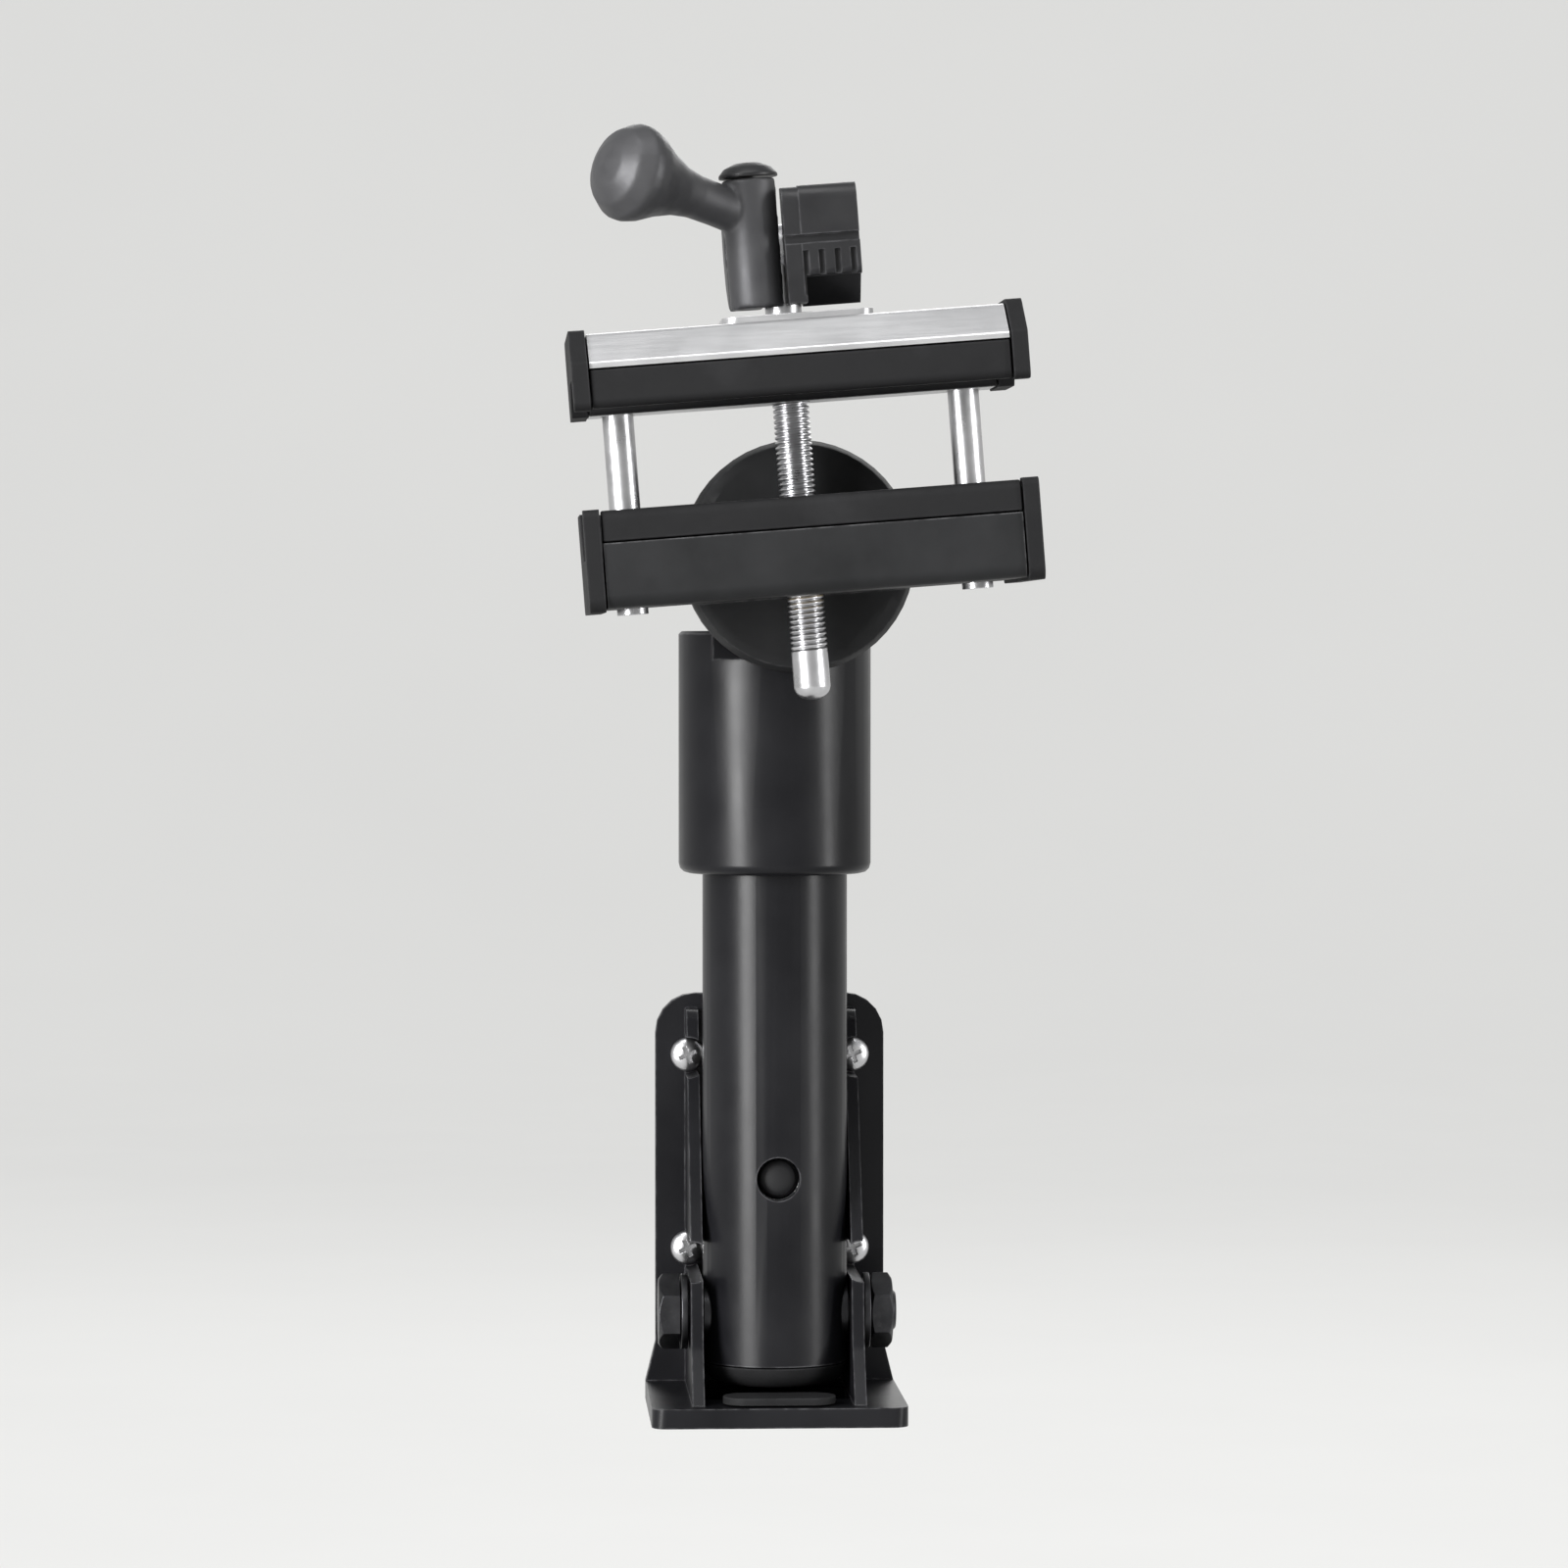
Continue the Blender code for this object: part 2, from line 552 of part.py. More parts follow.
def make_upper_jaw(slider):
    shape = rounded([(-54.0, UPPER_LIP, 1.5), (-68.8, UPPER_LIP), (-68.8, 36.3), (-73.1, 36.3),
                     (-75.5, 39.4, 1.0), (-96.5, 39.4, 1.0), (-98.9, 36.3), (JAW_FRONT, 36.3),
                     (JAW_FRONT, 37.3, 0.8), (-97.0, UPPER_TOP, 3.0), (-54.0, UPPER_TOP, 3.0)])
    jaw = slab("upper_jaw", "side", shape, -JAW_HALF, JAW_HALF)
    cut(jaw, screw_bore(SCREW_BORE_R, UPPER_LIP - 2, UPPER_TOP + 2),
        screw_bore(GUIDE_R + GAP, UPPER_LIP - 2, 39.8, -GUIDE_X),
        screw_bore(GUIDE_R + GAP, UPPER_LIP - 2, 39.8, GUIDE_X))
    finish(settle(jaw), "satin_grey", slider)

    pad_shape = rounded([(-69.1, UPPER_LIP, 1.0), *upper_groove(), (JAW_FRONT, UPPER_LIP, 1.5),
                         (JAW_FRONT, 36.0), (-98.7, 36.0), (-96.3, 39.1, 1.0), (-75.7, 39.1, 1.0),
                         (-73.3, 36.0), (-69.1, 36.0)])
    finish(slab("upper_pad", "side", pad_shape, -JAW_HALF, JAW_HALF), "rubber", slider)

    cap_shape = rounded([(-53.4, UPPER_LIP - 0.3, 1.5), *upper_groove(-0.3), (-104.7, UPPER_LIP - 0.3, 1.5),
                         (-104.7, 37.5, 1.0), (-97.2, UPPER_TOP + 0.8, 3.0), (-53.4, UPPER_TOP + 0.8, 3.0)])
    end_caps("upper_end_cap", cap_shape, slider)

    for name, x in (("guide_pin_left", -GUIDE_X), ("guide_pin_right", GUIDE_X)):
        finish(rod(name, (x, SCREW_Y, LOWER_FLOOR - 1.2), (x, SCREW_Y, 39.5), GUIDE_R, 20), "steel", slider)

    outline = rounded([(-12.2, -71.5, 3), (16.6, -71.5, 3), (16.6, -54.5, 3), (-12.2, -54.5, 3)])
    saddle = slab("cam_saddle", "top", outline, UPPER_TOP + GAP, SADDLE_TOP,
                  [circle(0, SCREW_Y, SCREW_BORE_R)])
    finish(saddle, "satin_grey", slider)


def make_clamp_screw(turner):
    tip = [(SCREW_R * sin(radians(a)), SCREW_TIP + SCREW_R - SCREW_R * cos(radians(a))) for a in (80, 55, 30)]
    profile = [(0, 56.0), (SCREW_R, 56.0), (SCREW_R, SCREW_TIP + SCREW_R), *tip, (0, SCREW_TIP)]
    shaft = turned("clamp_screw", profile, (0, SCREW_Y, 0), steps=24)
    join(shaft, rod("eye", (-EYE_HALF, SCREW_Y, PIN_Z), (EYE_HALF, SCREW_Y, PIN_Z), 4.7))
    cut(shaft, rod("eye_bore", (-5, SCREW_Y, PIN_Z), (5, SCREW_Y, PIN_Z), PIN_R + GAP, 20))
    finish(settle(shaft), "steel", turner)
    pin = rod("cam_pin", (-9.6, SCREW_Y, PIN_Z), (14.2, SCREW_Y, PIN_Z), PIN_R, 20)
    finish(pin, "steel", turner)


# ---------------------------------------------------------------- quick lever


def cam_outline(front, top):
    """Round about the cam pin behind it, square in front of it."""
    arc = [(SCREW_Y + CAM_R * sin(radians(a)), PIN_Z - CAM_R * cos(radians(a))) for a in range(0, 181, 15)]
    return [Vector(point) for point in arc] + rounded([(SCREW_Y, PIN_Z + CAM_R), (front, top, 3),
                                                       (front, PIN_Z - CAM_R, 1.5)])[1:]


def make_lever(swinger):
    pin_place = (0, SCREW_Y, PIN_Z)
    bottom = PIN_Z - CAM_R
    cheek = slab("lever", "side", cam_outline(POST_Y - 1.0, PIN_Z + CAM_R), POST_X - POST_R, -3.8)
    post = rod("post", (POST_X, POST_Y, bottom), (POST_X, POST_Y, POST_TOP), POST_R, 32)
    trumpet = [(0, 32.2), (4.2, 31.5), (7.4, 29.6), (9.3, 26.6), (9.3, 25.0), (8.6, 22.8), (6.6, 19.0),
               (4.9, 14.5), (4.2, 10.5), (4.1, 5.0), (4.2, 0.0), (0, 0)]
    handle = turned("handle", trumpet, NECK, Vector(KNOB) - Vector(NECK), 28)
    join(cheek, post, handle)
    slot = slab("eye_slot", "top", rounded([(-3.8, -66.95), (1.5, -66.95), (1.5, -50), (-3.8, -50)]), 40, 80)
    cut(cheek, slot, rod("pin_bore", (-20, SCREW_Y, PIN_Z), (20, SCREW_Y, PIN_Z), PIN_R + GAP, 20))
    place(finish(settle(cheek), "lever_grey"), swinger, pin_place)

    cap = turned("lever_cap", [(0, 3.0), (2.6, 2.7), (4.6, 1.8), (5.6, 0.6), (5.6, 0.0), (0, 0)],
                 (POST_X, POST_Y, POST_TOP + GAP), steps=28)
    place(finish(settle(cap), "black_plastic"), swinger, pin_place)

    block = slab("cam_block", "side", cam_outline(BLOCK_FRONT, PIN_Z + CAM_R), 3.8, 14.8)
    nose_back, nose_front, nose_top = -67.0, BLOCK_FRONT + 0.2, PIN_Z + CAM_R - 0.2
    nose_shape = rounded([(nose_back, bottom + 0.2), (nose_back, nose_top), (nose_front, nose_top, 3),
                          (nose_front, bottom + 0.2)])
    join(block, slab("nose", "side", nose_shape, 0.6, 4.2))
    cut(block, rod("pin_bore", (-20, SCREW_Y, PIN_Z), (20, SCREW_Y, PIN_Z), PIN_R + GAP, 20))
    place(finish(settle(block), "black_plastic"), swinger, pin_place)


def make_clamp(head):
    carrier = empty("jaw_tilt_axis", (HUB_X, -ARM_Y, HUB_Z - SLEEVE_BOTTOM), head, -TILT)
    make_lower_jaw(carrier)
    slider = empty("jaw_travel_axis", (0, 0, 0), carrier)
    make_upper_jaw(slider)
    turner = empty("screw_turn_axis", (0, SCREW_Y, 0), slider)
    screw_frame = empty("screw_frame", (0, -SCREW_Y, 0), turner)
    make_clamp_screw(screw_frame)
    swinger = empty("lever_axis", (0, SCREW_Y, PIN_Z), screw_frame)
    make_lever(swinger)


def main():
    make_bracket()
    make_wall_screws()
    make_pivot()
    make_rest_pad()
    arm = make_arm()
    head = make_head(arm)
    make_clamp(head)


main()
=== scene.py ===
"""Folding bicycle wall rack: finishes, fasteners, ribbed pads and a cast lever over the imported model.

Lengths in the helpers are millimetres, and MM turns them into the frame's metres. Places come from the
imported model's boxes and joints. The clamp's pieces are made in its own tilted frame: x along the jaws,
y as in the world, z along the clamp screw. The lights and the camera are placed in metres.
"""

import json
from math import atan2, cos, pi, radians, sin

import bmesh
import bpy
from mathutils import Matrix, Vector


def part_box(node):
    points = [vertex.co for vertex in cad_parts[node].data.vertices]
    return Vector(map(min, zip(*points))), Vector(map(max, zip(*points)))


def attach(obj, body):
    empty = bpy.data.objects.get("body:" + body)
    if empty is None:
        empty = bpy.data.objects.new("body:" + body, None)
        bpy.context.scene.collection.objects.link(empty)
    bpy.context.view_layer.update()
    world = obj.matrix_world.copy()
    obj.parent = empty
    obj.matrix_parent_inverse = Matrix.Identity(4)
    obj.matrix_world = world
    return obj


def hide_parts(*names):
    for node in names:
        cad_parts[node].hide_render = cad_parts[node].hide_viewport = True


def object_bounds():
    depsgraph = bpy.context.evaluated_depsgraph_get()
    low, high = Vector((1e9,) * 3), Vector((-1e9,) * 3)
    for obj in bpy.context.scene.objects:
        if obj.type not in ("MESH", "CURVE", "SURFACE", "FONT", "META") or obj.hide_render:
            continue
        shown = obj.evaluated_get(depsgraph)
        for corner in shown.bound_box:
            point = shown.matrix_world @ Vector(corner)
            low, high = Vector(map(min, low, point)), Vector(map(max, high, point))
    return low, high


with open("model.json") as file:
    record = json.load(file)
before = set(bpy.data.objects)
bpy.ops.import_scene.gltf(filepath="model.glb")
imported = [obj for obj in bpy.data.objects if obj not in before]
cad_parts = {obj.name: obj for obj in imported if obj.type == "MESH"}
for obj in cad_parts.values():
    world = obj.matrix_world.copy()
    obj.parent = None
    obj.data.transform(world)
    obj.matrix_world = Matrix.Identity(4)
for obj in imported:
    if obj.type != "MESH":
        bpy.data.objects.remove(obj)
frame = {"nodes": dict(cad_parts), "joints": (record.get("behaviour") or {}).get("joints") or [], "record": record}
cad_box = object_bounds()

MM = 0.001
NODES = frame["nodes"]
RECORD = frame["record"]
JOINTS = {joint["name"]: joint for joint in frame["joints"]}
BODY_OF = {node: body for body, names in RECORD["behaviour"]["bodies"].items() for node in names}
SLOT_OF = {part["node"]: part["material_slot"] for part in RECORD["subparts"]}


# ---------------------------------------------------------------- node materials


class Tree:
    """A material's node tree with short calls for the nodes used here."""

    def __init__(self, name):
        self.material = bpy.data.materials.new(name)
        self.material.use_nodes = True
        self.nodes = self.material.node_tree.nodes
        self.shader = self.nodes["Principled BSDF"]
        self.place = self.add("ShaderNodeTexCoord").outputs["Object"]

    def add(self, kind, **settings):
        node = self.nodes.new(kind)
        for key, value in settings.items():
            setattr(node, key, value)
        return node

    def join(self, source, target):
        self.material.node_tree.links.new(source, target)

    def stretched(self, scale):
        mapping = self.add("ShaderNodeMapping")
        mapping.inputs["Scale"].default_value = scale
        self.join(self.place, mapping.inputs["Vector"])
        return mapping.outputs["Vector"]

    def noise(self, scale, detail=3.0, vector=None):
        node = self.add("ShaderNodeTexNoise")
        node.inputs["Scale"].default_value = scale
        node.inputs["Detail"].default_value = detail
        node.inputs["Roughness"].default_value = 0.55
        self.join(vector or self.place, node.inputs["Vector"])
        return node.outputs["Fac"]

    def ranged(self, value, low, high, to_low, to_high):
        node = self.add("ShaderNodeMapRange")
        for name, number in (("From Min", low), ("From Max", high), ("To Min", to_low), ("To Max", to_high)):
            node.inputs[name].default_value = number
        self.join(value, node.inputs["Value"])
        return node.outputs["Result"]

    def math(self, operation, first, second):
        node = self.add("ShaderNodeMath", operation=operation)
        for socket, value in zip(node.inputs, (first, second)):
            if isinstance(value, (int, float)):
                socket.default_value = value
            else:
                self.join(value, socket)
        return node.outputs["Value"]

    def mix(self, factor, first, second):
        node = self.add("ShaderNodeMix", data_type="RGBA")
        self.join(factor, node.inputs["Factor"])
        for socket, colour in ((node.inputs["A"], first), (node.inputs["B"], second)):
            if isinstance(colour, tuple):
                socket.default_value = (*colour, 1.0)
            else:
                self.join(colour, socket)
        return node.outputs["Result"]

    def bump(self, height, distance, strength=1.0, under=None):
        node = self.add("ShaderNodeBump")
        node.inputs["Distance"].default_value = distance * MM
        node.inputs["Strength"].default_value = strength
        self.join(height, node.inputs["Height"])
        if under:
            self.join(under, node.inputs["Normal"])
        return node.outputs["Normal"]

    def edges(self):
        """0 on flats and 1 where the surface turns, broken up by noise so that wear looks rubbed."""
        reach = 0.5 * MM
        turned = self.add("ShaderNodeBevel", samples=6)
        turned.inputs["Radius"].default_value = reach
        dot = self.add("ShaderNodeVectorMath", operation="DOT_PRODUCT")
        self.join(turned.outputs["Normal"], dot.inputs[0])
        self.join(self.add("ShaderNodeNewGeometry").outputs["Normal"], dot.inputs[1])
        worn = self.ranged(dot.outputs["Value"], 0.995, 0.94, 0.0, 1.0)
        return self.math("MULTIPLY", worn, self.ranged(self.noise(420.0, 4.0), 0.38, 0.62, 0.15, 1.0))

    def finish(self, colour, roughness, normal, metallic=0.0, specular=0.5):
        self.join(colour, self.shader.inputs["Base Color"])
        self.join(roughness, self.shader.inputs["Roughness"])
        self.join(normal, self.shader.inputs["Normal"])
        self.shader.inputs["Metallic"].default_value = metallic
        self.shader.inputs["Specular IOR Level"].default_value = specular
        return self.material


def powder_coat():
    t = Tree("powder_coat")
    patches = t.ranged(t.noise(46.0), 0.35, 0.65, 0, 1)
    base = t.mix(patches, (0.0036, 0.0036, 0.0044), (0.0062, 0.0062, 0.0072))
    colour = t.mix(t.edges(), base, (0.05, 0.05, 0.053))
    roughness = t.ranged(t.noise(90.0, 4.0), 0.3, 0.7, 0.29, 0.35)
    orange_peel = t.bump(t.noise(560.0, 2.0), 0.016, 0.5)
    normal = t.bump(t.noise(2300.0, 2.0), 0.008, 0.6, orange_peel)
    return t.finish(colour, roughness, normal, specular=0.15)


def jaw_casting():
    t = Tree("jaw_casting")
    patches = t.ranged(t.noise(70.0), 0.35, 0.65, 0, 1)
    base = t.mix(patches, (0.0062, 0.0064, 0.0068), (0.0094, 0.0096, 0.0102))
    colour = t.mix(t.edges(), base, (0.06, 0.06, 0.062))
    roughness = t.ranged(t.noise(160.0, 4.0), 0.3, 0.7, 0.50, 0.64)
    cast = t.bump(t.noise(380.0, 5.0), 0.050, 0.6)
    normal = t.bump(t.noise(1700.0, 3.0), 0.022, 0.7, cast)
    return t.finish(colour, roughness, normal, specular=0.15)


def satin_grey():
    # The light grey base and edge colour are a lit copy of the dark jaw finish: painted highlight for the light
    # from above on the upper jaw's top face. The drawn grain and handled patches are the metal's own.
    t = Tree("satin_grey")
    drawn = t.noise(1.0, 3.0, t.stretched((40.0, 1500.0, 1500.0)))
    patches = t.ranged(t.noise(55.0, 4.0), 0.35, 0.65, 0, 1)
    base = t.mix(patches, (0.34, 0.34, 0.345), (0.41, 0.41, 0.415))
    colour = t.mix(t.edges(), base, (0.48, 0.48, 0.48))
    handled = t.ranged(t.noise(120.0), 0.3, 0.7, 0.0, 0.08)
    roughness = t.math("ADD", t.ranged(drawn, 0.3, 0.7, 0.26, 0.36), handled)
    return t.finish(colour, roughness, t.bump(drawn, 0.012, 0.8), metallic=0.75)


def lever_grey():
    t = Tree("lever_grey")
    patches = t.ranged(t.noise(80.0, 4.0), 0.35, 0.65, 0, 1)
    base = t.mix(patches, (0.034, 0.034, 0.036), (0.047, 0.047, 0.049))
    colour = t.mix(t.edges(), base, (0.11, 0.11, 0.113))
    roughness = t.ranged(t.noise(240.0, 4.0), 0.3, 0.7, 0.44, 0.56)
    normal = t.bump(t.noise(900.0, 3.0), 0.014, 0.7)
    return t.finish(colour, roughness, normal, metallic=0.45, specular=0.2)


def rubber():
    t = Tree("rubber")
    worn = t.math("MAXIMUM", t.ranged(t.noise(38.0, 5.0), 0.55, 0.75, 0.0, 0.55), t.edges())
    colour = t.mix(worn, (0.0052, 0.0052, 0.0056), (0.016, 0.016, 0.017))
    roughness = t.ranged(t.noise(130.0, 3.0), 0.3, 0.7, 0.62, 0.82)
    grain = t.bump(t.noise(1250.0, 4.0), 0.030, 0.7)
    return t.finish(colour, roughness, grain, specular=0.14)


def black_plastic():
    t = Tree("black_plastic")
    colour = t.mix(t.edges(), (0.0075, 0.0075, 0.0082), (0.035, 0.035, 0.037))
    roughness = t.ranged(t.noise(150.0, 3.0), 0.3, 0.7, 0.38, 0.52)
    cells = t.add("ShaderNodeTexVoronoi", feature="SMOOTH_F1")
    cells.inputs["Scale"].default_value = 1500.0
    t.join(t.place, cells.inputs["Vector"])
    return t.finish(colour, roughness, t.bump(cells.outputs["Distance"], 0.016, 0.5), specular=0.25)


def plated(name, dark, light, stained, smoothest, roughest):
    """Zinc, blackened steel or brass, clouded and stained by handling, with a fine grain."""
    t = Tree(name)
    clouds = t.ranged(t.noise(170.0, 5.0), 0.35, 0.7, 0, 1)
    stains = t.ranged(t.noise(520.0, 4.0), 0.60, 0.78, 0.0, 0.3)
    colour = t.mix(stains, t.mix(clouds, dark, light), stained)
    roughness = t.ranged(t.noise(300.0, 4.0), 0.3, 0.7, smoothest, roughest)
    return t.finish(colour, roughness, t.bump(t.noise(1400.0, 3.0), 0.005, 0.5), metallic=1.0)


MATERIALS = {
    "powder_coat": powder_coat(),
    "jaw_casting": jaw_casting(),
    # satin_grey is lighter than jaw_casting as painted highlight on the upper jaw's top face, not as a different
    # metal.
    "satin_grey": satin_grey(),
    "lever_grey": lever_grey(),
    "rubber": rubber(),
    "black_plastic": black_plastic(),
    "steel": plated("steel", (0.42, 0.42, 0.43), (0.52, 0.52, 0.53), (0.30, 0.30, 0.31), 0.26, 0.36),
    "black_steel": plated(
        "black_steel", (0.030, 0.030, 0.032), (0.052, 0.052, 0.055), (0.10, 0.10, 0.10), 0.34, 0.48),
    "brass": plated("brass", (0.52, 0.39, 0.19), (0.66, 0.51, 0.27), (0.30, 0.22, 0.12), 0.24, 0.40),
}


# ---------------------------------------------------------------- mesh helpers


def clamp_matrix():
    """From the clamp's own frame, on the tilt axis, to the world at rest."""
    up = Vector(JOINTS["jaw_travel"]["axis"]).normalized()
    back = Vector((0.0, 1.0, 0.0))
    matrix = Matrix((back.cross(up), back, up)).transposed().to_4x4()
    x, _, z = JOINTS["jaw_tilt"]["pos_m"]
    matrix.translation = (x, 0.0, z)
    return matrix


CLAMP = clamp_matrix()
WORLD = Matrix.Identity(4)


def new_object(name, bm, matrix=WORLD):
    """A piece from a bmesh in millimetres, placed by a matrix in metres, with its place in its mesh."""
    bm.transform(matrix @ Matrix.Diagonal((MM, MM, MM, 1.0)))
    bmesh.ops.recalc_face_normals(bm, faces=bm.faces)
    mesh = bpy.data.meshes.new(name)
    bm.to_mesh(mesh)
    bm.free()
    obj = bpy.data.objects.new(name, mesh)
    bpy.context.scene.collection.objects.link(obj)
    return obj


def aimed(start, direction):
    """Local +Z along a direction from start, in millimetres."""
    turn = Vector((0, 0, 1)).rotation_difference(Vector(direction).normalized()).to_matrix().to_4x4()
    return Matrix.Translation(Vector(start)) @ turn


def lathe(bm, profile, steps, matrix=WORLD, radius_at=None):
    """Turn (radius, height) points about Z; radius_at(radius, height, angle) may shape the rings."""
    rings = []
    for radius, height in profile:
        if radius < 1e-6:
            rings.append([bm.verts.new(matrix @ Vector((0, 0, height)))])
            continue
        ring = []
        for i in range(steps):
            angle = 2 * pi * i / steps
            here = radius_at(radius, height, angle) if radius_at else radius
            ring.append(bm.verts.new(matrix @ Vector((here * cos(angle), here * sin(angle), height))))
        rings.append(ring)
    for low, high in zip(rings, rings[1:]):
        for i in range(steps):
            j = (i + 1) % steps
            corners = [low[i % len(low)], low[j % len(low)], high[j % len(high)], high[i % len(high)]]
            corners = list(dict.fromkeys(corners))
            if len(corners) > 2:
                bm.faces.new(corners)
    return bm


def prism(bm, outline, low, high, matrix=WORLD):
    """An outline in x, y between two heights."""
    bottom = [bm.verts.new(matrix @ Vector((x, y, low))) for x, y in outline]
    top = [bm.verts.new(matrix @ Vector((x, y, high))) for x, y in outline]
    bm.faces.new(bottom)
    bm.faces.new(top)
    count = len(outline)
    for i in range(count):
        j = (i + 1) % count
        bm.faces.new((bottom[i], bottom[j], top[j], top[i]))
    return bm


def hexagon(corner_radius):
    return [(corner_radius * cos(pi * i / 3), corner_radius * sin(pi * i / 3)) for i in range(6)]


def rectangle(left, low, right, high):
    return [(left, low), (right, low), (right, high), (left, high)]


def baked(obj):
    """Replace the modifiers by their result."""
    bpy.context.view_layer.update()
    mesh = bpy.data.meshes.new_from_object(obj.evaluated_get(bpy.context.evaluated_depsgraph_get()))
    obj.modifiers.clear()
    obj.data = mesh
    return obj


def boolean(obj, bm, operation, matrix=WORLD):
    """Cut, join or intersect a piece with a closed bmesh, and bake the result."""
    other = new_object("tool", bm, matrix)
    modifier = obj.modifiers.new("shape", "BOOLEAN")
    modifier.operation = operation
    modifier.solver = "EXACT"
    modifier.object = other
    baked(obj)
    bpy.data.objects.remove(other)
    return obj


def soften(obj, width, segments=3, angle=32.0):
    """Rounded edges that catch the light, over welded corners."""
    weld = obj.modifiers.new("weld", "WELD")
    weld.merge_threshold = 0.00001
    if width:
        bevel = obj.modifiers.new("round", "BEVEL")
        bevel.width = width * MM
        bevel.segments = segments
        bevel.limit_method = "ANGLE"
        bevel.angle_limit = radians(angle)
        bevel.use_clamp_overlap = True
        bevel.miter_outer = "MITER_ARC"
    normals = obj.modifiers.new("normals", "WEIGHTED_NORMAL")
    normals.weight = 70
    return obj


def piece(obj, node):
    """Name and dress a made piece after the CAD node that it stands for, and let it ride on its body."""
    obj.name = obj.data.name = node + "_detailed"
    slot = SLOT_OF[node]
    obj.data.materials.clear()
    obj.data.materials.append(MATERIALS[slot])
    for face in obj.data.polygons:
        face.use_smooth = True
    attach(obj, BODY_OF[node])
    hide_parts(node)
    return obj


def copied(node):
    """A new object with a CAD node's shape, welded."""
    bm = bmesh.new()
    bm.from_mesh(NODES[node].data)
    bmesh.ops.remove_doubles(bm, verts=bm.verts, dist=0.00001)
    bm.transform(Matrix.Diagonal((1 / MM, 1 / MM, 1 / MM, 1.0)))
    return new_object(node, bm)


# ---------------------------------------------------------------- fasteners


def wall_screw(node):
    """A pan head with a cross recess."""
    low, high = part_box(node)
    centre = (low + high) / 2 / MM
    front, back, radius = low.y / MM, high.y / MM, (high.x - low.x) / 2 / MM
    height, rim, shank = 2.6, 0.8, 2.1
    at = aimed((centre.x, front + height, centre.z), (0, -1, 0))
    end = front + height - back
    profile = [(0, end), (shank, end), (shank, 0), (radius - 0.3, 0), (radius, 0.3), (radius, rim)]
    dome = [radians(a) for a in range(10, 90, 10)]
    profile += [(radius * cos(a), rim + (height - rim) * sin(a)) for a in dome]
    bm = lathe(bmesh.new(), profile + [(0, height)], 48, at)
    screw = new_object(node, bm)
    half, reach, recess_floor, turn = 0.42, 1.75, 1.1, 0.4
    cross = [(half, half), (half, reach), (-half, reach), (-half, half), (-reach, half), (-reach, -half),
             (-half, -half), (-half, -reach), (half, -reach), (half, -half), (reach, -half), (reach, half)]
    turned = [(x * cos(turn) - y * sin(turn), x * sin(turn) + y * cos(turn)) for x, y in cross]
    boolean(screw, prism(bmesh.new(), turned, recess_floor, height + 1, at), "DIFFERENCE")
    return piece(soften(screw, 0.12, 2), node)


def chamfered_hex(radius, low, high, at, top_chamfer=0.9, low_chamfer=0.0, matrix=WORLD):
    """A hexagon whose corners are cut by cones, as a bolt head's are."""
    obj = new_object("hexagon", prism(bmesh.new(), hexagon(radius), low, high, at), matrix)
    flat = radius * cos(pi / 6)
    cone = [(0, low), (flat - 0.1 if low_chamfer else radius + 1, low)]
    if low_chamfer:
        cone.append((radius + 0.05, low + low_chamfer))
    cone += [(radius + 0.05, high - top_chamfer), (flat - 0.1, high), (0, high)]
    return boolean(obj, lathe(bmesh.new(), cone, 64, at), "INTERSECT", matrix)


def thread(major, pitch, depth, start, end, fade=1.2):
    """radius_at for lathe: a thread cut into a rod between two heights, fading at both ends."""
    def radius_at(radius, height, angle):
        if radius < major - 0.01 or not start <= height <= end:
            return radius
        phase = (height / pitch - angle / (2 * pi)) % 1.0
        groove = min(1.0, max(0.0, 1.25 - abs(phase - 0.5) * 4.2))  # a V with a flat bottom and crest
        run = min(1.0, (height - start) / fade, (end - height) / fade)
        return radius - depth * groove * max(0.0, run)
    return radius_at


def rod_profile(radius, low, high, step, chamfer=0.5):
    """Closely spaced rings, so that a thread can be cut between them."""
    count = round((high - low - 2 * chamfer) / step)
    body = [(radius, low + chamfer + (high - low - 2 * chamfer) * i / count) for i in range(count + 1)]
    return [(0, low), (radius - chamfer, low), *body, (radius - chamfer, high), (0, high)]


def pivot_bolt():
    low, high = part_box("pivot_bolt")
    _, axis_y, axis_z = (value / MM for value in JOINTS["arm_fold"]["pos_m"])
    left, right = low.x / MM, high.x / MM
    shank, head, pitch, depth = 4.0, 4.2, 1.25, 0.55
    corner = max(high.z - low.z, high.y - low.y) / 2 / MM
    bolt = chamfered_hex(corner, 0.0, head, aimed((left + head, axis_y, axis_z), (-1, 0, 0)))
    length = right - left
    shape = rod_profile(shank, head - 1, length, 0.2)
    cut = thread(shank, pitch, depth, length - 8, length - 0.7)
    along = aimed((left, axis_y, axis_z), (1, 0, 0))
    boolean(bolt, lathe(bmesh.new(), shape, 36, along, cut), "UNION")
    return piece(soften(bolt, 0.15, 2, 40.0), "pivot_bolt")


def pivot_nut():
    low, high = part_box("pivot_nut")
    _, axis_y, axis_z = (value / MM for value in JOINTS["arm_fold"]["pos_m"])
    corner = max(high.z - low.z, high.y - low.y) / 2 / MM
    height, bore = (high.x - low.x) / MM, 4.3
    at = aimed((low.x / MM, axis_y, axis_z), (1, 0, 0))
    nut = chamfered_hex(corner, 0.0, height, at, 0.8, 0.5)
    hole = [(0, -1), (bore, -1), (bore, height + 1), (0, height + 1)]
    boolean(nut, lathe(bmesh.new(), hole, 36, at), "DIFFERENCE")
    return piece(soften(nut, 0.15, 2, 40.0), "pivot_nut")


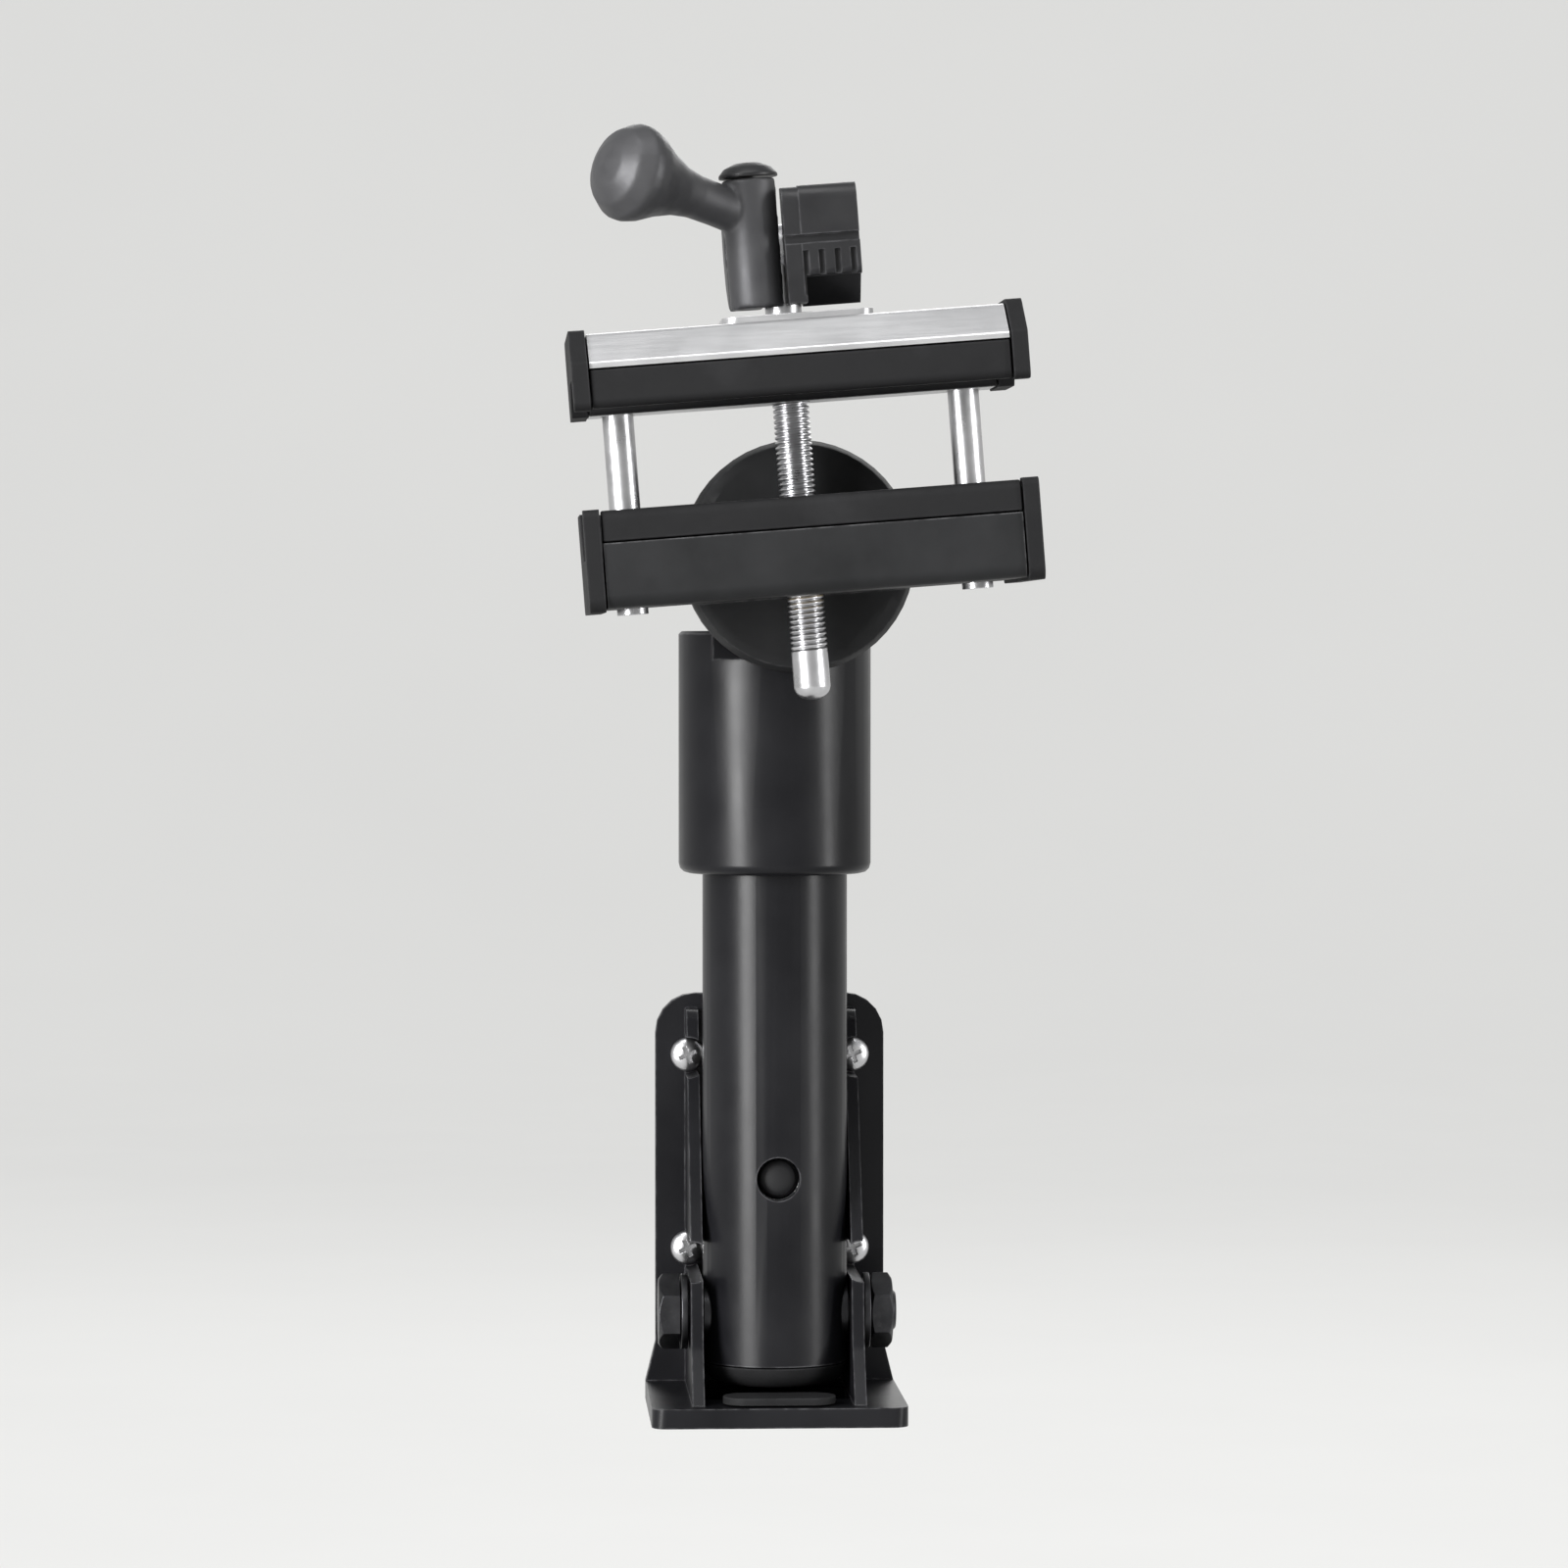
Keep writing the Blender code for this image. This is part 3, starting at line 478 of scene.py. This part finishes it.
def tilt_bolt():
    low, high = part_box("tilt_bolt")
    back, front = high.y / MM, low.y / MM
    head, corner, shank = 4.5, 7.5, 4.0
    at = aimed((0, back - head, 0), (0, 1, 0))
    bolt = chamfered_hex(corner, 0.0, head, at, matrix=CLAMP)
    rod = lathe(bmesh.new(), rod_profile(shank, front - back + head, 1.0, 1.0), 36, at)
    boolean(bolt, rod, "UNION", CLAMP)
    return piece(soften(bolt, 0.15, 2, 40.0), "tilt_bolt")


def swivel_screw():
    """The CAD screw with a hexagon socket in its head."""
    low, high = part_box("swivel_screw")
    x, y = (low.x + high.x) / 2 / MM, (low.y + high.y) / 2 / MM
    top, socket, depth = high.z / MM, 3.4, 2.2
    screw = copied("swivel_screw")
    at = aimed((x, y, 0), (0, 0, 1))
    boolean(screw, prism(bmesh.new(), hexagon(socket), top - depth, top + 1, at), "DIFFERENCE")
    return piece(soften(screw, 0.2, 2), "swivel_screw")


def clamp_screw():
    """A threaded rod with a plain rounded tip, and the eye that the cam pin goes through."""
    screw_y, pin_z = -62.0, 58.3
    radius, tip, top = 3.5, -27.6, 56.0
    plain_tip, thread_top, dome_height, ring_count = 9.0, 44.5, 2.4, 480
    foot = tip + dome_height
    turns = [radians(a) for a in range(12, 90, 12)]
    dome = [(radius * sin(a) * 0.98, foot - dome_height * cos(a)) for a in turns]
    rings = [(radius, foot + (top - foot) * i / ring_count) for i in range(ring_count + 1)]
    cut = thread(radius, 1.0, 0.5, tip + plain_tip, thread_top)
    upright = aimed((0, screw_y, 0), (0, 0, 1))
    rod = lathe(bmesh.new(), [(0, tip), *dome, *rings, (0, top)], 36, upright, cut)
    screw = new_object("clamp_screw", rod, CLAMP)
    across = aimed((0, screw_y, pin_z), (1, 0, 0))
    eye = [(0, -3.4), (4.3, -3.4), (4.7, -3.0), (4.7, 3.0), (4.3, 3.4), (0, 3.4)]
    boolean(screw, lathe(bmesh.new(), eye, 40, across), "UNION", CLAMP)
    bore = [(0, -6), (2.8, -6), (2.8, 6), (0, 6)]
    boolean(screw, lathe(bmesh.new(), bore, 32, across), "DIFFERENCE", CLAMP)
    return piece(soften(screw, 0.0), "clamp_screw")


# ---------------------------------------------------------------- pads, lever and cam block


def rounded(corners, arc_step=15.0):
    """Closed outline through corners (x, y) or (x, y, radius), with an arc at each radius."""
    points = []
    count = len(corners)
    for i, corner in enumerate(corners):
        here = Vector(corner[:2])
        radius = corner[2] if len(corner) > 2 else 0.0
        if not radius:
            points.append(here)
            continue
        before = (Vector(corners[i - 1][:2]) - here).normalized()
        after = (Vector(corners[(i + 1) % count][:2]) - here).normalized()
        half = before.angle(after) / 2
        middle = here + (before + after).normalized() * (radius / sin(half))
        start = here + before * (radius * cos(half) / sin(half)) - middle
        sweep = pi - 2 * half
        side = 1 if before.cross(after) < 0 else -1
        steps = max(2, round(sweep / radians(arc_step)))
        for k in range(steps + 1):
            angle = atan2(start.y, start.x) + side * sweep * k / steps
            points.append(middle + Vector((cos(angle), sin(angle))) * radius)
    return points


def fluted(start, end, count, depth, inward):
    """Points from start to end with rounded grooves cut in, which leave the ribs of a grip pad."""
    groove = ((0.24, 0.0), (0.32, 0.55), (0.42, 0.92), (0.5, 1.0), (0.58, 0.92), (0.68, 0.55), (0.76, 0.0))
    start, end, inward = Vector(start), Vector(end), Vector(inward).normalized()
    points = []
    for i in range(count):
        for share, sunk in groove:
            points.append(start.lerp(end, (i + share) / count) + inward * depth * sunk)
    return [tuple(point) for point in points]


# An outline of y and z, thickened along x, in the clamp's frame.
SIDEWAYS = Matrix(((0, 0, 1, 0), (1, 0, 0, 0), (0, 1, 0, 0), (0, 0, 0, 1)))

# The pads, in y: the outer faces, where the slopes begin, and the floor between the slopes.
PAD_FRONT, PAD_BACK = -104.0, -69.1
MOUTH_FRONT, MOUTH_BACK = -99.5, -72.5
FLOOR_FRONT, FLOOR_BACK = -94.0, -78.0
PAD_HALF = 38.6


def pad(node, corners):
    bm = prism(bmesh.new(), rounded(corners), -PAD_HALF, PAD_HALF, SIDEWAYS)
    return piece(soften(new_object(node, bm, CLAMP), 0.3, 2, 50.0), node)


def ribbed_channel(mouth, floor, slope_ribs):
    """The side of a pad that grips the tube, from back to front: a slope, the floor and a slope."""
    into = 1 if floor > mouth else -1
    rise, run = abs(floor - mouth), into * (MOUTH_BACK - FLOOR_BACK)
    lip, floor_groove, slope_groove = 0.9, 0.8, 0.7
    return [
        (MOUTH_BACK, mouth, lip),
        *fluted((MOUTH_BACK, mouth), (FLOOR_BACK, floor), slope_ribs, slope_groove, (rise, run)),
        (FLOOR_BACK, floor),
        *fluted((FLOOR_BACK, floor), (FLOOR_FRONT, floor), 5, floor_groove, (0, into)),
        (FLOOR_FRONT, floor),
        *fluted((FLOOR_FRONT, floor), (MOUTH_FRONT, mouth), slope_ribs, slope_groove, (-rise, run)),
        (MOUTH_FRONT, mouth, lip),
    ]


def pads():
    """Each pad fills its jaw's channel: ledges at front and back, and a keel between them."""
    mouth, floor, ledge, keel = 10.3, 1.2, 4.6, -3.3
    pad("lower_pad",
        [(PAD_FRONT, ledge), (-98.7, ledge), (-95.4, keel, 1.2), (-76.6, keel, 1.2), (-73.3, ledge),
         (PAD_BACK, ledge), (PAD_BACK, mouth, 1.0), *ribbed_channel(mouth, floor, 3),
         (PAD_FRONT, mouth, 1.8)])
    mouth, floor, ledge, keel = 29.0, 35.2, 36.0, 39.1
    pad("upper_pad",
        [(PAD_BACK, mouth, 1.0), *ribbed_channel(mouth, floor, 2), (PAD_FRONT, mouth, 1.6),
         (PAD_FRONT, ledge), (-98.7, ledge), (-96.3, keel, 1.0), (-75.7, keel, 1.0), (-73.3, ledge),
         (PAD_BACK, ledge)])


def lever():
    """The CAD lever remeshed and smoothed, so that the post runs into the handle as a casting does."""
    obj = copied("lever")
    remesh = obj.modifiers.new("skin", "REMESH")
    remesh.mode = "VOXEL"
    remesh.voxel_size = 0.42 * MM
    smooth = obj.modifiers.new("fillets", "SMOOTH")
    smooth.factor = 0.5
    smooth.iterations = 7
    baked(obj)
    return piece(obj, "lever")


def cam_block():
    """The CAD block with the groove round its front and the grip ridges under it."""
    obj = copied("cam_block")
    left, right, front, bottom, middle = -1.0, 16.0, -73.0, 48.6, 59.2
    half, depth = 0.8, 1.1
    groove = rectangle(front - 1, middle - half, front + depth, middle + half)
    boolean(obj, prism(bmesh.new(), groove, left, right, SIDEWAYS), "DIFFERENCE", CLAMP)
    first, spacing, slot_half, slot_depth = 4.4, 3.0, 0.55, 0.7
    for i in range(4):
        x = first + spacing * i
        slot = rectangle(x - slot_half, front - 1, x + slot_half, front + slot_depth)
        boolean(obj, prism(bmesh.new(), slot, bottom, middle - 2.2), "DIFFERENCE", CLAMP)
    return piece(soften(obj, 0.25, 2), "cam_block")


# ---------------------------------------------------------------- the CAD nodes that stay

EDGE = {  # width of the rounded edges, in millimetres
    "wall_bracket": 0.45, "lower_jaw": 0.5, "upper_jaw": 0.5, "head_sleeve": 0.5, "arm_tube": 0.35,
    "lower_end_cap_left": 0.7, "lower_end_cap_right": 0.7,
    "upper_end_cap_left": 0.7, "upper_end_cap_right": 0.7,
    "rest_pad": 0.6, "cam_saddle": 0.4, "clamp_nut": 0.4, "guide_pin_left": 0.5, "guide_pin_right": 0.5,
    "pivot_washer_left": 0.25, "pivot_washer_right": 0.25, "tilt_washer": 0.25, "cam_pin": 0.4,
}


def dress_frame():
    """Materials and rounded edges for the CAD nodes that no made piece replaces."""
    default_edge = 0.15
    for name, node in NODES.items():
        if node.hide_render:
            continue
        for slot in node.material_slots:
            slot.link = "OBJECT"
            slot.material = MATERIALS[SLOT_OF[name]]
        width = EDGE.get(name, default_edge)
        soften(node, width, 3 if width > 0.3 else 2)


# ---------------------------------------------------------------- stage, lights and camera


def make_stage(low):
    """A pale floor whose far edge curves up, so that no horizon shows."""
    drop, flat, bend, wall_top = 160.0, 2600.0, 1400.0, 3000.0
    turns = [radians(a) for a in range(10, 91, 10)]
    profile = [(0, 0), (flat, 0)] + [(flat + bend * sin(a), bend - bend * cos(a)) for a in turns]
    profile.append((flat + bend, wall_top))
    at = Matrix.Translation((0, 0, low.z / MM - drop))
    floor = new_object("pale_floor", lathe(bmesh.new(), profile, 64, at))
    for face in floor.data.polygons:
        face.use_smooth = True
    t = Tree("pale_floor")
    patches = t.ranged(t.noise(1.3, 4.0), 0.3, 0.7, 0, 1)
    colour = t.mix(patches, (0.150, 0.150, 0.148), (0.172, 0.172, 0.169))
    roughness = t.ranged(t.noise(9.0), 0.3, 0.7, 0.8, 0.9)
    t.shader.inputs["Emission Color"].default_value = (1.0, 1.0, 0.985, 1.0)
    t.shader.inputs["Emission Strength"].default_value = 0.55
    floor.data.materials.append(t.finish(colour, roughness, t.bump(t.noise(90.0), 0.2, 0.2)))


def area_light(name, position, target, size, height, watts):
    data = bpy.data.lights.new(name, "AREA")
    data.shape = "RECTANGLE"
    data.size, data.size_y = size, height
    data.energy = watts
    light = bpy.data.objects.new(name, data)
    light.location = position
    light.rotation_euler = (Vector(target) - Vector(position)).to_track_quat("-Z", "Y").to_euler()
    bpy.context.scene.collection.objects.link(light)


def make_lights():
    target = (0.0, -0.03, 0.08)
    area_light("key_left", (-1.15, -1.05, 0.40), target, 0.46, 1.3, 74.0)
    area_light("fill_right", (1.35, -0.70, 0.25), target, 0.30, 1.2, 22.0)
    area_light("top_soft", (-0.15, -0.55, 1.45), target, 1.1, 0.8, 14.0)
    area_light("back_soft", (0.3, 1.5, 0.9), target, 1.2, 0.8, 10.0)
    world = bpy.data.worlds.new("pale_room")
    world.use_nodes = True
    background = world.node_tree.nodes["Background"]
    background.inputs["Color"].default_value = (0.92, 0.93, 0.94, 1.0)
    background.inputs["Strength"].default_value = 0.60
    bpy.context.scene.world = world


def make_camera(low, high):
    """In front of the rack and a little to its left, as a person stands before a wall."""
    distance, left, height = 1.1, 0.0576, 0.109
    data = bpy.data.cameras.new("camera")
    data.lens = 128.0
    data.clip_end = 30.0
    camera = bpy.data.objects.new("camera", data)
    arm_y = JOINTS["arm_fold"]["pos_m"][1]
    camera.location = (-left, arm_y - distance, height)
    middle = Vector(((low.x + high.x) / 2, arm_y, (low.z + high.z) / 2))
    camera.rotation_euler = (middle - camera.location).to_track_quat("-Z", "Y").to_euler()
    bpy.context.scene.collection.objects.link(camera)
    bpy.context.scene.camera = camera


# ---------------------------------------------------------------- build

for screw_node in sorted(name for name in NODES if name.startswith("wall_screw")):
    wall_screw(screw_node)
pivot_bolt()
pivot_nut()
tilt_bolt()
swivel_screw()
clamp_screw()
pads()
lever()
cam_block()
dress_frame()
make_stage(cad_box[0])
make_lights()
make_camera(*cad_box)
bpy.context.scene.view_settings.view_transform = "Standard"
